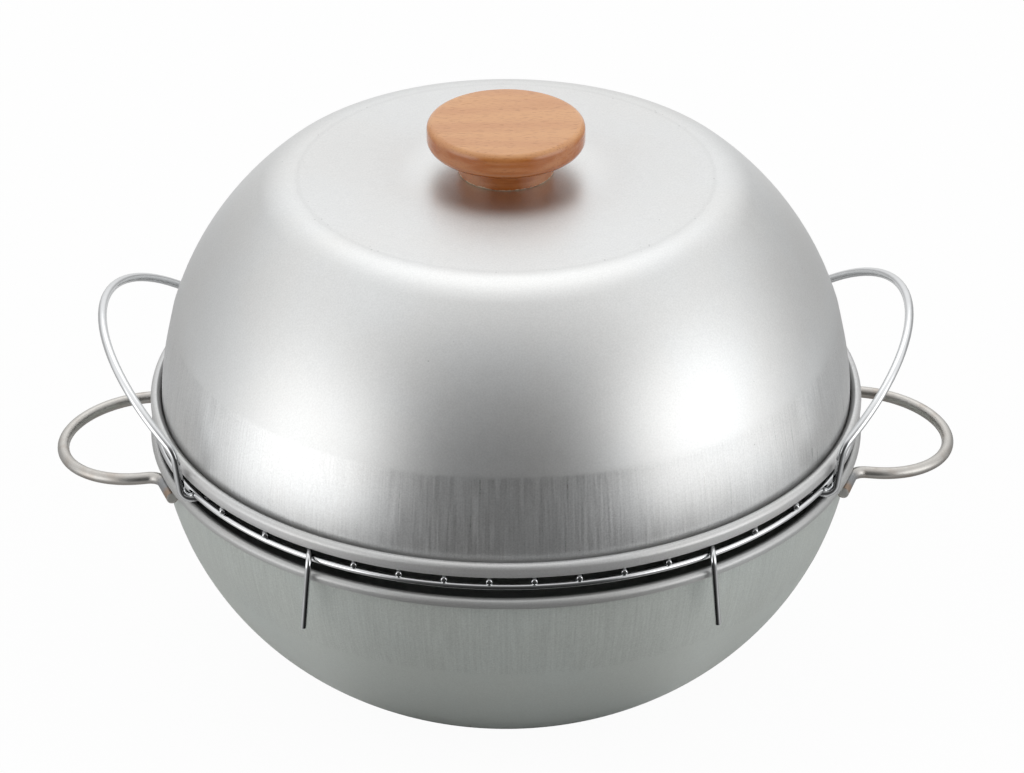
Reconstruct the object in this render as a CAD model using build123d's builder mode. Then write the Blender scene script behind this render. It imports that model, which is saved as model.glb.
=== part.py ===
"""A smoker pot: pressed bowl and lid with rolled rims, and a welded wire rack between them.

Millimetres. The origin is the middle of the bowl's flat underside, Z is up, the handles lie along X
and the rack's wires run along Y.
"""

import os
from math import atan2, cos, degrees, radians, sin, sqrt, tan

from build123d import *

os.makedirs("parts", exist_ok=True)

# Pressed shells
sheet = 1.0
rim_d = 330.0

bowl_height = 113.3
bowl_base_d = 170.0
bowl_shoulder_r = 30.0
bowl_shoulder_turn = 34.5
bowl_bead_d = 4.8

lid_height = 116.8
lid_seat_d = 50.0
lid_crown = 2.45
lid_top_d = 192.0
lid_shoulder_r = 27.0
lid_shoulder_turn = 40.4
lid_bead_d = 7.4

# Bowl handles
grip_rod_d = 5.5
grip_loop_r = 38.0
grip_leg = 3.5
grip_drop = 10.4
grip_droop = 5.5
grip_bend_r = 8.0
grip_foot = 16.0
grip_foot_turn = 18.0

# Wire rack
ring_wire_d = 3.0
ring_inset = 2.8
grid_wire_d = 2.7
grid_count = 14
grid_margin_share = 1.75
outer_wire_count = 2
hook_leg = 36.0
hook_bend_r = 5.0
hook_splay = 5.0
hook_gap = 0.8

# Rack handles
bail_wire_d = 4.0
bail_half_span = 78.5
bail_lean = 7.0
bail_rise = 23.2
bail_slope = 42.0
bail_spread = 57.0
bail_straight = 9.0
bail_foot_bend_r = 5.0
bail_knee_bend_r = 9.0
bail_gap = 0.8

# Knob and its screw
knob_d = 71.6
knob_height = 24.4
knob_disc = 12.7
knob_neck_d = 43.5
knob_top_round = 3.4
knob_under_round = 4.5
knob_neck_round = 3.0
screw_d = 5.0
screw_reach = 16.0
screw_head_d = 9.6
screw_head = 3.2
screw_head_round = 1.4
screw_slot = 1.2
screw_slot_deep = 1.5
screw_end_bevel = 0.6
washer_d = 16.0
washer_thick = 1.2

# Fits
seat_gap = 0.3
weld_bite = 0.1
foot_bite = 0.05
screw_room = 0.3
thread_gap = 0.05
cut_bevel = 0.4
overrun = 4.0

# Levels of the stack on the rim
rim_r = rim_d / 2
bail_z = bowl_height + seat_gap + bail_wire_d / 2
ring_z = bail_z + bail_wire_d / 2 + ring_wire_d / 2 - weld_bite
grid_z = ring_z + ring_wire_d / 2 + grid_wire_d / 2 - weld_bite
lid_z = grid_z + grid_wire_d / 2 + seat_gap
lid_top_z = lid_z + lid_height


def crown_tilt(seat_d, crown, flat_d):
    """Slope at the edge of a crowned end, in radians."""
    return 2 * atan2(crown, (flat_d - seat_d) / 2)


def shell_side(seat_d, crown, flat_d, shoulder_r, shoulder_turn, bead_d, height):
    """Centre, radius and end of the side's arc, tangent to the shoulder and to the rolled rim."""
    roll_r = (bead_d - sheet) / 2
    tilt = crown_tilt(seat_d, crown, flat_d)
    turn = radians(shoulder_turn)
    shoulder = shoulder_r - sheet / 2
    start = Vector(
        flat_d / 2 + shoulder * (sin(turn) - sin(tilt)),
        crown + sheet / 2 + shoulder * (cos(tilt) - cos(turn)),
    )
    inward = Vector(-sin(turn), cos(turn))
    bead = Vector(rim_r - bead_d / 2, height - bead_d / 2)
    back = start - bead
    side_r = (back.length**2 - roll_r**2) / (2 * (roll_r - inward.dot(back)))
    centre = start + inward * side_r
    end = centre + (bead - centre) * (side_r / (side_r + roll_r))
    return centre, side_r, end


def shell_section(seat_d, crown, flat_d, shoulder_r, shoulder_turn, bead_d, height):
    """Half section of a pressed shell, its flat seat on the X axis and its rolled rim at the top."""
    end = shell_side(seat_d, crown, flat_d, shoulder_r, shoulder_turn, bead_d, height)[2]
    tilt = degrees(crown_tilt(seat_d, crown, flat_d))
    with BuildSketch() as section:
        with BuildLine() as middle:
            edge = Line((0, sheet / 2), (seat_d / 2, sheet / 2))
            if crown:
                edge = TangentArc(edge @ 1, (flat_d / 2, crown + sheet / 2), tangent=edge % 1)
            shoulder = JernArc(edge @ 1, edge % 1, shoulder_r - sheet / 2, shoulder_turn - tilt)
            TangentArc(shoulder @ 1, end, tangent=shoulder % 1)
        trace(middle.line, line_width=sheet)
        with Locations((rim_r - bead_d / 2, height - bead_d / 2)):
            Circle(bead_d / 2)
    return section.sketch


bowl_sizes = (
    bowl_base_d, 0, bowl_base_d, bowl_shoulder_r, bowl_shoulder_turn, bowl_bead_d, bowl_height
)
lid_sizes = (
    lid_seat_d, lid_crown, lid_top_d, lid_shoulder_r, lid_shoulder_turn, lid_bead_d, lid_height
)

# Bowl
with BuildPart() as bowl:
    with BuildSketch(Plane.XZ):
        add(shell_section(*bowl_sizes))
    revolve(axis=Axis.Z)

bowl.part.label = "bowl_shell"
export_step(bowl.part, "parts/bowl_shell.step")

# Bowl handles: a half-round loop on short legs, which turn out into feet along the wall
grip_z = bowl_height - grip_drop
side_centre, side_r, side_end = shell_side(*bowl_sizes)
wall_r = side_centre.X + sqrt((side_r + sheet / 2) ** 2 - (grip_z - side_centre.Y) ** 2)
foot_r = wall_r + grip_rod_d / 2 - foot_bite
foot_turn = radians(grip_foot_turn)
grip_turn = 90 - grip_foot_turn
grip_corner_x = (foot_r - grip_loop_r * sin(foot_turn)) / cos(foot_turn)
loop_x = grip_corner_x + grip_bend_r * tan(radians(grip_turn) / 2)

for side_name, hand in (("left", -1), ("right", 1)):
    droop = radians(grip_droop)
    grip_plane = Plane(
        origin=(hand * wall_r, 0, grip_z),
        x_dir=(hand * cos(droop), 0, -sin(droop)),
        z_dir=(hand * sin(droop), 0, cos(droop)),
    )
    with BuildPart() as grip:
        with BuildLine(grip_plane) as grip_path:
            loop = CenterArc((loop_x + grip_leg - wall_r, 0), grip_loop_r, 0, 90)
            leg = Line(loop @ 1, loop @ 1 - (grip_leg, 0))
            bend = JernArc(leg @ 1, leg % 1, grip_bend_r, -grip_turn)
            foot = Line(bend @ 1, bend @ 1 + (bend % 1) * grip_foot)
            mirror(about=Plane.XZ)
        with BuildSketch(Plane(origin=foot @ 1, z_dir=foot % 1)):
            Circle(grip_rod_d / 2)
        sweep(path=grip_path.wire())
        chamfer(grip.faces().filter_by(GeomType.PLANE).edges(), length=cut_bevel)
    grip.part.label = f"bowl_handle_{side_name}"
    export_step(grip.part, f"parts/bowl_handle_{side_name}.step")

# Rack ring
ring_r = rim_r - ring_inset
with BuildPart() as ring:
    with BuildSketch(Plane.XZ):
        with Locations((ring_r, ring_z)):
            Circle(ring_wire_d / 2)
    revolve(axis=Axis.Z)

ring.part.label = "rack_ring"
export_step(ring.part, "parts/rack_ring.step")

# Rack wires, each cut flush with the ring's outside, but for two that hook over the bowl's rim
grid_pitch = 2 * ring_r / (grid_count - 1 + 2 * grid_margin_share)
grid_end_r = ring_r + ring_wire_d / 2
grid_left = -grid_pitch * (grid_count - 1) / 2
hooked = (outer_wire_count, grid_count - 1 - outer_wire_count)

for place in range(grid_count):
    wire_x = grid_left + grid_pitch * place
    if place in hooked:
        continue
    half_length = sqrt(grid_end_r**2 - wire_x**2)
    with BuildPart() as wire:
        with BuildSketch(Plane(origin=(wire_x, -half_length, grid_z), z_dir=(0, 1, 0))):
            Circle(grid_wire_d / 2)
        extrude(amount=2 * half_length)
        chamfer(wire.faces().filter_by(GeomType.PLANE).edges(), length=cut_bevel)
    wire.part.label = f"rack_wire_{place + 1:02d}"
    export_step(wire.part, f"parts/rack_wire_{place + 1:02d}.step")

# Hooked wires: both legs splay out sideways, so the whole wire lies in one leaning plane
for side_name, hand in (("left", -1), ("right", 1)):
    hook_x = hand * grid_pitch * ((grid_count - 1) / 2 - outer_wire_count)
    hook_y = sqrt((rim_r + hook_gap + grid_wire_d / 2) ** 2 - hook_x**2)
    splay = radians(hook_splay)
    hook_plane = Plane(
        origin=(hook_x, 0, grid_z),
        x_dir=(0, 1, 0),
        z_dir=(hand * cos(splay), 0, sin(splay)),
    )
    with BuildPart() as hook:
        with BuildLine(hook_plane) as hook_path:
            FilletPolyline(
                (-hook_y, -hand * hook_leg),
                (-hook_y, 0),
                (hook_y, 0),
                (hook_y, -hand * hook_leg),
                radius=hook_bend_r,
            )
        hook_wire = hook_path.wire()
        with BuildSketch(Plane(origin=hook_wire @ 0, z_dir=hook_wire % 0)):
            Circle(grid_wire_d / 2)
        sweep(path=hook_wire)
        chamfer(hook.faces().filter_by(GeomType.PLANE).edges(), length=cut_bevel)
    hook.part.label = f"rack_hook_wire_{side_name}"
    export_step(hook.part, f"parts/rack_hook_wire_{side_name}.step")

# Rack handles: rails under the ring that rise outside the lid's rim and lean out in an arch
lean = tan(radians(bail_lean))
lid_bead_z = lid_z + lid_bead_d / 2
guard_r = rim_r + bail_gap + bail_wire_d / 2
guard_x = sqrt(guard_r**2 - bail_half_span**2)
bail_corner_x = guard_x - (lid_bead_z - bail_z) * lean
knee_x = bail_corner_x + bail_rise * lean
knee_z = bail_z + bail_rise
spread = radians(bail_spread)
slope = radians(bail_slope)
arch_half = bail_half_span - bail_straight * cos(spread)
arch_r = arch_half / sin(spread)
straight_out = bail_straight * sin(spread)
apex_out = straight_out + arch_r * (1 - cos(spread))

for side_name, hand in (("left", -1), ("right", 1)):
    rail_start = (0, -bail_half_span, bail_z)
    corner = (hand * bail_corner_x, -bail_half_span, bail_z)
    knee = (hand * knee_x, -bail_half_span, knee_z)
    arch_start = (
        hand * (knee_x + straight_out * cos(slope)),
        -arch_half,
        knee_z + straight_out * sin(slope),
    )
    arch_end = (arch_start[0], arch_half, arch_start[2])
    apex = (hand * (knee_x + apex_out * cos(slope)), 0, knee_z + apex_out * sin(slope))
    with BuildPart() as bail:
        with BuildLine() as bail_path:
            FilletPolyline(
                rail_start, corner, knee, arch_start, radius=(bail_foot_bend_r, bail_knee_bend_r)
            )
            mirror(about=Plane.XZ)
            ThreePointArc(arch_start, apex, arch_end)
        bail_wire = bail_path.wire()
        with BuildSketch(Plane(origin=rail_start, z_dir=(hand, 0, 0))):
            Circle(bail_wire_d / 2)
        sweep(path=bail_wire)
    bail.part.label = f"rack_handle_{side_name}"
    export_step(bail.part, f"parts/rack_handle_{side_name}.step")

# Lid
with BuildPart() as lid:
    with BuildSketch(Plane(origin=(0, 0, lid_top_z), x_dir=(1, 0, 0), z_dir=(0, 1, 0))):
        add(shell_section(*lid_sizes))
    revolve(axis=Axis.Z)
    with Locations((0, 0, lid_top_z)):
        Hole(screw_d / 2 + screw_room, depth=overrun)

lid.part.label = "lid_shell"
export_step(lid.part, "parts/lid_shell.step")

# Knob
neck_height = knob_height - knob_disc
with BuildPart() as knob:
    with BuildSketch(Plane(origin=(0, 0, lid_top_z), x_dir=(1, 0, 0), z_dir=(0, -1, 0))) as turned:
        with BuildLine():
            Polyline(
                (0, 0),
                (knob_neck_d / 2, 0),
                (knob_neck_d / 2, neck_height),
                (knob_d / 2, neck_height),
                (knob_d / 2, knob_height),
                (0, knob_height),
                close=True,
            )
        make_face()
        rim_corners = turned.vertices().sort_by(Axis.X)[-2:].sort_by(Axis.Y)
        fillet(rim_corners[-1], radius=knob_top_round)
        under_corner = turned.vertices().filter_by_position(Axis.Y, neck_height, neck_height)
        fillet(under_corner.sort_by(Axis.X)[-1], radius=knob_under_round)
        neck_corner = turned.vertices().filter_by_position(Axis.Y, neck_height, neck_height)
        fillet(neck_corner.sort_by(Axis.X)[0], radius=knob_neck_round)
    revolve(axis=Axis.Z)
    with BuildSketch(Plane.XY.offset(lid_top_z)):
        Circle(screw_d / 2 + thread_gap)
    extrude(amount=screw_reach + screw_room, mode=Mode.SUBTRACT)

knob.part.label = "lid_knob"
export_step(knob.part, "parts/lid_knob.step")

# Washer and screw, inside the lid
washer_z = lid_top_z - sheet - washer_thick
with BuildPart() as washer:
    with BuildSketch(Plane.XY.offset(washer_z)):
        Circle(washer_d / 2)
        Circle(screw_d / 2 + screw_room, mode=Mode.SUBTRACT)
    extrude(amount=washer_thick)

washer.part.label = "knob_washer"
export_step(washer.part, "parts/knob_washer.step")

with BuildPart() as screw:
    with BuildSketch(Plane.XY.offset(washer_z)):
        Circle(screw_head_d / 2)
    extrude(amount=-screw_head)
    fillet(screw.edges().sort_by(Axis.Z)[0], radius=screw_head_round)
    with BuildSketch(Plane.XY.offset(washer_z - screw_head)):
        Rectangle(screw_head_d + overrun, screw_slot)
    extrude(amount=screw_slot_deep, mode=Mode.SUBTRACT)
    with BuildSketch(Plane.XY.offset(washer_z)):
        Circle(screw_d / 2)
    extrude(amount=washer_thick + sheet + screw_reach)
    chamfer(screw.edges().sort_by(Axis.Z)[-1], length=screw_end_bevel)

screw.part.label = "knob_screw"
export_step(screw.part, "parts/knob_screw.step")
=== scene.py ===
"""Looks of a smoker pot: pressed steel bowl and lid, chromed wire rack and a turned beech knob.

Shapes are worked out in millimetres in the CAD frame and become metres when a mesh is made.
Z is up, the handles lie along X, and the rack's wires run along Y.
"""

import logging
from collections.abc import Sequence
from dataclasses import dataclass
from enum import Enum
from math import atan2, ceil, cos, degrees, pi, radians, sin, sqrt, tan
from typing import Any

import bmesh
import bpy
from mathutils import Matrix, Vector, noise


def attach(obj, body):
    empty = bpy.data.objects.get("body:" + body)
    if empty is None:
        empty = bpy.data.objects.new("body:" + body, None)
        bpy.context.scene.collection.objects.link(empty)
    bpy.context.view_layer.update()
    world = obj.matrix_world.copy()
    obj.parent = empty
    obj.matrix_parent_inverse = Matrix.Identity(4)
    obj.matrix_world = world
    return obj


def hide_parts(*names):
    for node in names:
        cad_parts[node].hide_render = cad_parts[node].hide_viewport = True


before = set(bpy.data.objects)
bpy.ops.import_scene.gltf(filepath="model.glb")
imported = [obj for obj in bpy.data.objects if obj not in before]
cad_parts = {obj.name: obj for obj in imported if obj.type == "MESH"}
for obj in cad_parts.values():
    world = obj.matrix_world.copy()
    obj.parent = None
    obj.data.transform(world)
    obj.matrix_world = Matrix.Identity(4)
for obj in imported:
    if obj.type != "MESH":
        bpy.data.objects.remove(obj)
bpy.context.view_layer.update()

MM = 0.001
log = logging.getLogger("smoker_pot")

# The turn, in degrees, past which an edge is sharp
SHARP_TURN = 38.0
# The radius under which a point counts as on the axis
LEAST_RADIUS = 1e-6
# The fewest steps of a bend, and the steps of a domed end
BEND_STEPS = 3
DOME_STEPS = 5
# How uneven weld metal is, and how soon that changes over a lump
WELD_UNEVEN = 0.22
WELD_PITCH = 1.9
# The middle of the noise, and the places of the colour sockets on a Mix node
NOISE_MIDDLE = 0.5
MIX_SHARE, MIX_FIRST, MIX_SECOND, MIX_RESULT = 0, 6, 7, 2

# Short names of types: a fade is where an eased rise starts and ends
Point = tuple[float, float]
Fade = tuple[float, float]
Triple = tuple[float, float, float]
Colour = tuple[float, float, float]
Faces = list[tuple[int, ...]]
SheetLine = list[tuple[Vector, Vector]]
WeldSpots = list[tuple[Vector, Vector, Vector]]


class Hand(Enum):
    """The side that a handle is on, as the sign of its X."""

    LEFT = -1
    RIGHT = 1

    @property
    def word(self) -> str:
        """The side's name, as it stands in a piece's name."""
        return self.name.lower()


class Body(Enum):
    """The bodies that move."""

    POT = "pot"
    RACK = "rack"
    LID = "lid"


class Slot(Enum):
    """The record's material slots, one named for each kind of new piece."""

    BOWL_STEEL = "bowl_steel"
    LID_STEEL = "lid_steel"
    ROD_STEEL = "rod_steel"
    CHROME_WIRE = "chrome_wire"
    BEECH = "beech"


class Skirt(Enum):
    """The side of the pressing line on which a shell's drawn skirt lies."""

    BELOW = -1
    ABOVE = 1


# Shader nodes


@dataclass(frozen=True)
class Dots:
    """Scattered round dots: the size of a cell, a dot's width, and the share of cells that keep theirs."""

    cell: float
    width: float
    kept_share: float
    core_share: float = 0.5
    cut_share: float = 0.98


class Value:
    """A shader socket, on which Python arithmetic adds Math nodes."""

    def __init__(self, paint: "Paint", socket: bpy.types.NodeSocket) -> None:
        """Keeps the socket and the tree that it is in."""
        self.paint = paint
        self.socket = socket

    def sibling(self, out: str | int) -> "Value":
        """Another output of the same node."""
        return Value(self.paint, self.socket.node.outputs[out])

    def _math(self, operation: str, first: "Value | float", second: "Value | float") -> "Value":
        """A Math node on two values."""
        return self.paint.node("ShaderNodeMath", {"operation": operation}, {0: first, 1: second})

    def __add__(self, other: "Value | float") -> "Value":
        """The sum."""
        return self._math("ADD", self, other)

    def __radd__(self, other: float) -> "Value":
        """The sum, from the right."""
        return self._math("ADD", other, self)

    def __sub__(self, other: "Value | float") -> "Value":
        """The difference."""
        return self._math("SUBTRACT", self, other)

    def __rsub__(self, other: float) -> "Value":
        """The difference, from the right."""
        return self._math("SUBTRACT", other, self)

    def __mul__(self, other: "Value | float") -> "Value":
        """The product."""
        return self._math("MULTIPLY", self, other)

    def __rmul__(self, other: float) -> "Value":
        """The product, from the right."""
        return self._math("MULTIPLY", other, self)

    def __truediv__(self, other: "Value | float") -> "Value":
        """The quotient."""
        return self._math("DIVIDE", self, other)

    def __pow__(self, other: "Value | float") -> "Value":
        """The power."""
        return self._math("POWER", self, other)

    def __neg__(self) -> "Value":
        """The negative."""
        return self._math("MULTIPLY", self, -1.0)

    def __abs__(self) -> "Value":
        """The size without the sign."""
        return self._math("ABSOLUTE", self, 0.0)

    def ease(self, low: float, high: float) -> "Value":
        """Rises smoothly from 0 to 1.

        Args:
            low: The value at which the rise starts.
            high: The value at which it ends.

        Returns:
            The eased value, kept between 0 and 1.
        """
        return self.paint.node(
            "ShaderNodeMapRange",
            {"interpolation_type": "SMOOTHSTEP"},
            {"Value": self, "From Min": low, "From Max": high},
        )


class Paint:
    """The node tree of a material or of the world."""

    def __init__(self, tree: bpy.types.NodeTree) -> None:
        """Empties the tree."""
        self.tree = tree
        tree.nodes.clear()

    def node(
        self,
        kind: str,
        settings: dict[str, Any],
        sockets: dict[str | int, Any],
        out: str | int = 0,
    ) -> Value:
        """Adds a node.

        Args:
            kind: The node's type.
            settings: Its settings, which are set first.
            sockets: Its inputs' values, or the values that are linked to them.
            out: The output that is wanted.

        Returns:
            That output, or the first input of a node that has none.
        """
        made = self.tree.nodes.new(kind)
        for name, setting in settings.items():
            setattr(made, name, setting)
        for key, source in sockets.items():
            socket = made.inputs[key]
            if isinstance(source, Value):
                self.tree.links.new(source.socket, socket)
            elif socket.type == "RGBA":
                socket.default_value = (*source, 1.0)
            else:
                socket.default_value = source
        return Value(self, made.outputs[out] if len(made.outputs) else made.inputs[0])

    def place(self) -> Value:
        """The place on the object, in millimetres."""
        metres = self.node("ShaderNodeTexCoord", {}, {}, "Object")
        return self.vector("MULTIPLY", metres, (1 / MM, 1 / MM, 1 / MM))

    def vector(self, operation: str, first: Any, second: Any = (0.0, 0.0, 0.0)) -> Value:
        """A Vector Math node on two vectors."""
        return self.node("ShaderNodeVectorMath", {"operation": operation}, {0: first, 1: second})

    def dot(self, first: Any, second: Any) -> Value:
        """The dot product of two vectors."""
        return self.vector("DOT_PRODUCT", first, second).sibling("Value")

    def grey(self, value: Value) -> Value:
        """A vector that holds the same value three times."""
        return self.node("ShaderNodeCombineXYZ", {}, {0: value, 1: value, 2: value})

    def shade(self, colour: Value | Colour, value: Value) -> Value:
        """A colour made lighter or darker by a value."""
        return self.vector("MULTIPLY", colour, self.grey(value))

    def split(self, vector: Value) -> tuple[Value, Value, Value]:
        """The three shares of a vector."""
        first = self.node("ShaderNodeSeparateXYZ", {}, {0: vector})
        return first, first.sibling(1), first.sibling(2)

    def mix(self, share: Value | float, first: Any, second: Any) -> Value:
        """A colour between two others."""
        sockets = {MIX_SHARE: share, MIX_FIRST: first, MIX_SECOND: second}
        return self.node("ShaderNodeMix", {"data_type": "RGBA"}, sockets, MIX_RESULT)

    def clouds(self, place: Value, cell: Triple, detail: float) -> Value:
        """Soft noise.

        Args:
            place: Where, in millimetres.
            cell: The size of a patch along each axis.
            detail: How many finer layers it has.

        Returns:
            The noise, around NOISE_MIDDLE.
        """
        scaled = self.vector("DIVIDE", place, cell)
        return self.node("ShaderNodeTexNoise", {}, {"Vector": scaled, "Scale": 1.0, "Detail": detail})

    def even_clouds(self, place: Value, size: float, detail: float) -> Value:
        """Soft noise with patches of one size along every axis."""
        return self.clouds(place, (size, size, size), detail)

    def waver(self, place: Value, size: float, detail: float) -> Value:
        """Soft noise around 0, with patches of one size along every axis."""
        return self.even_clouds(place, size, detail) - NOISE_MIDDLE

    def specks(self, place: Value, dots: Dots) -> Value:
        """Small round dots, one at most in each cell.

        Args:
            place: Where, in millimetres.
            dots: Their sizes.

        Returns:
            1 in a dot, and 0 elsewhere.
        """
        scaled = self.vector("DIVIDE", place, (dots.cell, dots.cell, dots.cell))
        near = self.node("ShaderNodeTexVoronoi", {}, {"Vector": scaled, "Scale": 1.0})
        chance, _, _ = self.split(near.sibling("Color"))
        reach = dots.width / dots.cell / 2
        dot = 1.0 - near.ease(reach * dots.core_share, reach)
        return dot * (1.0 - chance.ease(dots.kept_share * dots.cut_share, dots.kept_share))

    def bump(self, height: Value, depth: float) -> Value:
        """A normal that follows a height, where a height of 1 stands for a depth in millimetres."""
        return self.node("ShaderNodeBump", {}, {"Height": height, "Distance": depth * MM})

    def normal(self) -> Value:
        """The surface's own normal."""
        return self.node("ShaderNodeNewGeometry", {}, {}, "Normal")

    def close(self, **sockets: Any) -> None:
        """Ends the tree with a Principled shader.

        Args:
            sockets: Values or links, by their sockets' names with _ for a space.
        """
        named = {name.replace("_", " "): source for name, source in sockets.items()}
        shader = self.node("ShaderNodeBsdfPrincipled", {}, named)
        self.node("ShaderNodeOutputMaterial", {}, {"Surface": shader})


def new_paint(name: str) -> tuple[bpy.types.Material, Paint]:
    """Makes a material.

    Args:
        name: The material's name.

    Returns:
        The material and its empty node tree.
    """
    material = bpy.data.materials.new(name)
    material.use_nodes = True
    return material, Paint(material.node_tree)


# Finishes


@dataclass(frozen=True)
class PressedSheet:
    """Satin aluminised steel sheet, with draw marks on the skirt beside the pressing line, and its hollow
    side darkened as painted shade.
    """

    name: str
    tone: Colour
    roll_tone: Colour
    roughness: float
    metal: float
    line_z: float
    skirt: Skirt
    roll_from: float
    edge_r: float
    rim_z: float = 118.0
    wall_r: float = 155.0
    line_blur: float = 1.0
    roll_blur: float = 0.5
    roll_metal: float = 0.10
    roll_polish: float = 0.0
    bright_r: float = 0.0
    bright_blur: float = 9.0
    flat_fade: Fade = (-2.0, 6.0)
    flat_matt: float = 0.45
    skirt_shade: float = -0.035
    skirt_polish: float = 0.05
    skirt_grit: float = 0.7
    inner_fade: Fade = (-0.25, 0.05)
    # Painted shade: how much darker the hollow side is made
    hollow_painted_shade: float = 0.55
    inner_rough: float = 0.08
    cool: Colour = (0.992, 1.0, 1.008)
    cool_fade: Fade = (-0.15, 0.15)
    streak_width: float = 0.85
    streak_length: float = 26.0
    streak_share: float = 0.34
    streak_depth: float = 0.5
    broad_size: float = 45.0
    mottle_size: float = 5.0
    cloud_share: float = 0.05
    grit_size: float = 0.75
    grit_share: float = 0.20
    grain_size: float = 0.6
    grain_depth: float = 0.008
    edge_shade: float = 0.045
    edge_waver: float = 2.0
    worn_fade: Fade = (0.3, 1.6)
    scuffs: Dots = Dots(cell=3.2, width=1.1, kept_share=0.35)
    scuff_fade: Fade = (1.0, 3.0)
    scuff_shade: float = 0.25
    dark_dots: Dots = Dots(cell=13.0, width=0.9, kept_share=0.30)
    dark_shade: float = 0.30
    pale_dots: Dots = Dots(cell=9.0, width=0.7, kept_share=0.22)
    pale_shade: float = 0.07

    def inner(self, paint: Paint, place: Value) -> Value:
        """Tells the hollow side of the shell from the side that shows.

        Args:
            paint: The tree that it goes in.
            place: The place on the object.

        Returns:
            1 on the hollow side, and 0 on the other.
        """
        outward = paint.vector("NORMALIZE", paint.vector("SUBTRACT", place, (0.0, 0.0, self.rim_z)))
        return 1.0 - paint.dot(outward, paint.normal()).ease(*self.inner_fade)

    def streaks(self, paint: Paint, place: Value) -> Value:
        """Fine upright draw marks.

        Args:
            paint: The tree that it goes in.
            place: The place on the object.

        Returns:
            The marks, around 0.
        """
        spoke = paint.vector("NORMALIZE", paint.vector("MULTIPLY", place, (1.0, 1.0, 0.0)))
        around = paint.vector("MULTIPLY", spoke, (self.wall_r, self.wall_r, 0.0))
        squeeze = self.streak_width / self.streak_length
        upright = paint.vector("MULTIPLY", place, (0.0, 0.0, squeeze))
        return paint.waver(paint.vector("ADD", around, upright), self.streak_width, detail=3.0)

    def material(self) -> bpy.types.Material:
        """Makes the material.

        Returns:
            The material.
        """
        made, paint = new_paint(self.name)
        place = paint.place()
        x, y, height = paint.split(place)
        along = (height - self.line_z) * float(self.skirt.value)
        drawn = along.ease(-self.line_blur, self.line_blur)
        rolled = along.ease(self.roll_from - self.roll_blur, self.roll_from + self.roll_blur)
        skirt = drawn - rolled
        inner = self.inner(paint, place)
        streaks = self.streaks(paint, place) * skirt
        broad = paint.waver(place, self.broad_size, detail=2.0)
        mottle = paint.waver(place, self.mottle_size, detail=3.0)
        grit = paint.waver(place, self.grit_size, detail=1.0)
        radius = (x * x + y * y) ** 0.5
        past_edge = radius - self.edge_r
        away = radius.ease(self.bright_r - self.bright_blur, self.bright_r + self.bright_blur)
        matt = (1.0 - past_edge.ease(*self.flat_fade)) * away
        from_edge = abs(past_edge + mottle * self.edge_waver)
        worn = 1.0 - from_edge.ease(*self.worn_fade)
        scuffs = paint.specks(place, self.scuffs) * (1.0 - from_edge.ease(*self.scuff_fade))
        shade = (
            1.0
            - skirt * self.skirt_shade
            + streaks * self.streak_share
            + (broad + mottle) * self.cloud_share
            + grit * (1.0 + skirt * self.skirt_grit) * self.grit_share
            - worn * self.edge_shade
            - scuffs * self.scuff_shade
            - paint.specks(place, self.dark_dots) * self.dark_shade
            + paint.specks(place, self.pale_dots) * self.pale_shade
        )
        roughness = (
            self.roughness
            - drawn * self.skirt_polish
            - rolled * self.roll_polish
            + streaks * self.streak_share
            + mottle * self.cloud_share
            + inner * self.inner_rough
        )
        grain = paint.even_clouds(place, self.grain_size, detail=1.0)
        bare = paint.mix(rolled, self.tone, self.roll_tone)
        cooled = paint.vector("MULTIPLY", bare, self.cool)
        tinted = paint.mix(broad.ease(*self.cool_fade), bare, cooled)
        # The hollow side's colour is darkened here as painted shade
        paint.close(
            Base_Color=paint.shade(tinted, shade * (1.0 - inner * self.hollow_painted_shade)),
            Metallic=1.0 - away * (1.0 - self.metal) - matt * self.flat_matt + rolled * self.roll_metal,
            Roughness=roughness,
            Normal=paint.bump(grain + streaks * self.streak_depth, self.grain_depth),
        )
        return made


@dataclass(frozen=True)
class ChromeWire:
    """Bright plated wire, a little uneven where the plating runs."""

    name: str
    tone: Colour = (0.72, 0.73, 0.74)
    roughness: float = 0.04
    run_size: float = 4.0
    run_shade: float = 0.10
    run_rough: float = 0.06
    pits: Dots = Dots(cell=5.0, width=0.5, kept_share=0.25)
    pit_shade: float = 0.3
    pit_rough: float = 0.2
    ripple_size: float = 2.5
    ripple_depth: float = 0.02

    def material(self) -> bpy.types.Material:
        """Makes the material.

        Returns:
            The material.
        """
        made, paint = new_paint(self.name)
        place = paint.place()
        runs = paint.waver(place, self.run_size, detail=3.0)
        pits = paint.specks(place, self.pits)
        ripple = paint.even_clouds(place, self.ripple_size, detail=1.0)
        paint.close(
            Base_Color=paint.shade(self.tone, 1.0 + runs * self.run_shade - pits * self.pit_shade),
            Metallic=1.0,
            Roughness=self.roughness + runs * self.run_rough + pits * self.pit_rough,
            Normal=paint.bump(ripple, self.ripple_depth),
        )
        return made


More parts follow.
